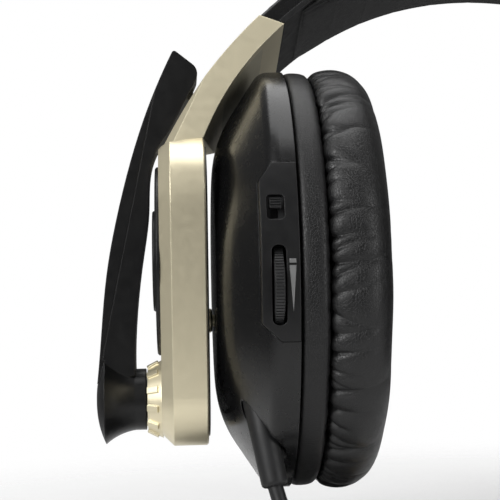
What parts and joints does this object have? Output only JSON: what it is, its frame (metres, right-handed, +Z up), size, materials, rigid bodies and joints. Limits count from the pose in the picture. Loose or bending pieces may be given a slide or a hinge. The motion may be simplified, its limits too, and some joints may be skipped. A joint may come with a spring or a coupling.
{
  "type": "wired over-ear headset with boom microphone",
  "caption": "Over-ear headset with gold yokes, oval cushioned cups, a swing-up boom microphone, side controls and a coiled cable.",
  "frame": {"origin": "middle of the headband pad's underside, where the head carries the headset", "axes": "+Z up, +X to the wearer's right, +Y the way the wearer faces"},
  "size_m": [0.1978, 0.0963, 0.1738],
  "materials": {
    "gold": "satin champagne anodised",
    "black_gloss": "glossy",
    "black_satin": "fine satin",
    "black_cover": "satin",
    "leatherette": "soft synthetic leather",
    "cloth": "thin woven",
    "spring_steel": "plain",
    "screw_steel": "dark plated",
    "silver_mark": "satin",
    "inner_plastic": "matt",
    "board_green": "solder mask",
    "driver_metal": "matt",
    "cable_rubber": "matt",
    "pin_plate": "polished",
    "tie_strap": "woven hook and loop",
    "wheel_rubber": "ribbed"
  },
  "bodies": {
    "headband": {"headband_shell": "black_gloss", "headband_liner": "black_satin", "headband_pad": "leatherette"},
    "left_yoke": {"left_arm": "gold", "left_arm_cover": "black_cover", "left_slider": "spring_steel", "left_yoke_housing": "gold", "left_yoke_cover": "black_satin", "left_yoke_trim": "black_satin", "left_pivot_stud": "gold", "left_yoke_screws": "screw_steel", "mic_ring": "gold"},
    "left_pivot": {"left_pivot_ball": "screw_steel"},
    "left_cup": {"left_cup_shell": "black_gloss", "left_baffle": "inner_plastic", "left_pivot_socket": "inner_plastic", "left_driver": "driver_metal", "left_cushion_base": "leatherette", "left_ear_cushion": "leatherette", "left_speaker_cloth": "cloth", "left_cup_screws": "screw_steel", "control_panel": "black_satin", "volume_pot": "inner_plastic", "mute_switch": "inner_plastic", "volume_mark": "silver_mark", "circuit_board": "board_green", "strain_relief": "cable_rubber", "cable_lead": "cable_rubber", "cable_coil": "cable_rubber", "cable_tail": "cable_rubber", "cable_tie": "tie_strap", "plug_body": "cable_rubber", "plug_pin": "pin_plate"},
    "right_yoke": {"right_arm": "gold", "right_arm_cover": "black_cover", "right_slider": "spring_steel", "right_yoke_housing": "gold", "right_yoke_cover": "black_satin", "right_yoke_trim": "black_satin", "right_pivot_stud": "gold", "right_yoke_screws": "screw_steel"},
    "right_pivot": {"right_pivot_ball": "screw_steel"},
    "right_cup": {"right_cup_shell": "black_gloss", "right_baffle": "inner_plastic", "right_pivot_socket": "inner_plastic", "right_driver": "driver_metal", "right_cushion_base": "leatherette", "right_ear_cushion": "leatherette", "right_speaker_cloth": "cloth", "right_cup_screws": "screw_steel"},
    "mic_boom": {"boom_arm": "black_satin", "boom_cover": "black_satin", "mic_capsule": "driver_metal", "mic_grille": "cloth"},
    "volume_wheel": {"volume_wheel": "wheel_rubber"},
    "mute_knob": {"mute_knob": "black_satin"}
  },
  "joints": [
    {"name": "left_size", "type": "hinge", "parent": "headband", "child": "left_yoke", "pos_m": [0, -0.01906, -0.07646], "axis": [0, -0.9703, 0.2419], "range_deg": [0, 13]},
    {"name": "left_tilt", "type": "hinge", "parent": "left_yoke", "child": "left_pivot", "pos_m": [-0.0704, -0.01229, -0.09289], "axis": [0, 1, 0], "range_deg": [-1, 5]},
    {"name": "left_swivel", "type": "hinge", "parent": "left_pivot", "child": "left_cup", "pos_m": [-0.0704, -0.01229, -0.09289], "axis": [0, 0, 1], "range_deg": [-3, 3]},
    {"name": "right_size", "type": "hinge", "parent": "headband", "child": "right_yoke", "pos_m": [0, -0.01906, -0.07646], "axis": [0, 0.9703, -0.2419], "range_deg": [0, 13]},
    {"name": "right_tilt", "type": "hinge", "parent": "right_yoke", "child": "right_pivot", "pos_m": [0.0704, -0.01229, -0.09289], "axis": [0, -1, 0], "range_deg": [-1, 5]},
    {"name": "right_swivel", "type": "hinge", "parent": "right_pivot", "child": "right_cup", "pos_m": [0.0704, -0.01229, -0.09289], "axis": [0, 0, -1], "range_deg": [-3, 3]},
    {"name": "mic_swing", "type": "hinge", "parent": "left_yoke", "child": "mic_boom", "pos_m": [-0.097, -0.01229, -0.11269], "axis": [-1, 0, 0], "range_deg": [0, 130]},
    {"name": "volume_turn", "type": "hinge", "parent": "left_cup", "child": "volume_wheel", "pos_m": [-0.0628, -0.05, -0.08539], "axis": [1, 0, 0], "range_deg": [-140, 140]},
    {"name": "mute_slide", "type": "slide", "parent": "left_cup", "child": "mute_knob", "axis": [0, 0, -1], "range_m": [0, 0.0022]}
  ]
}
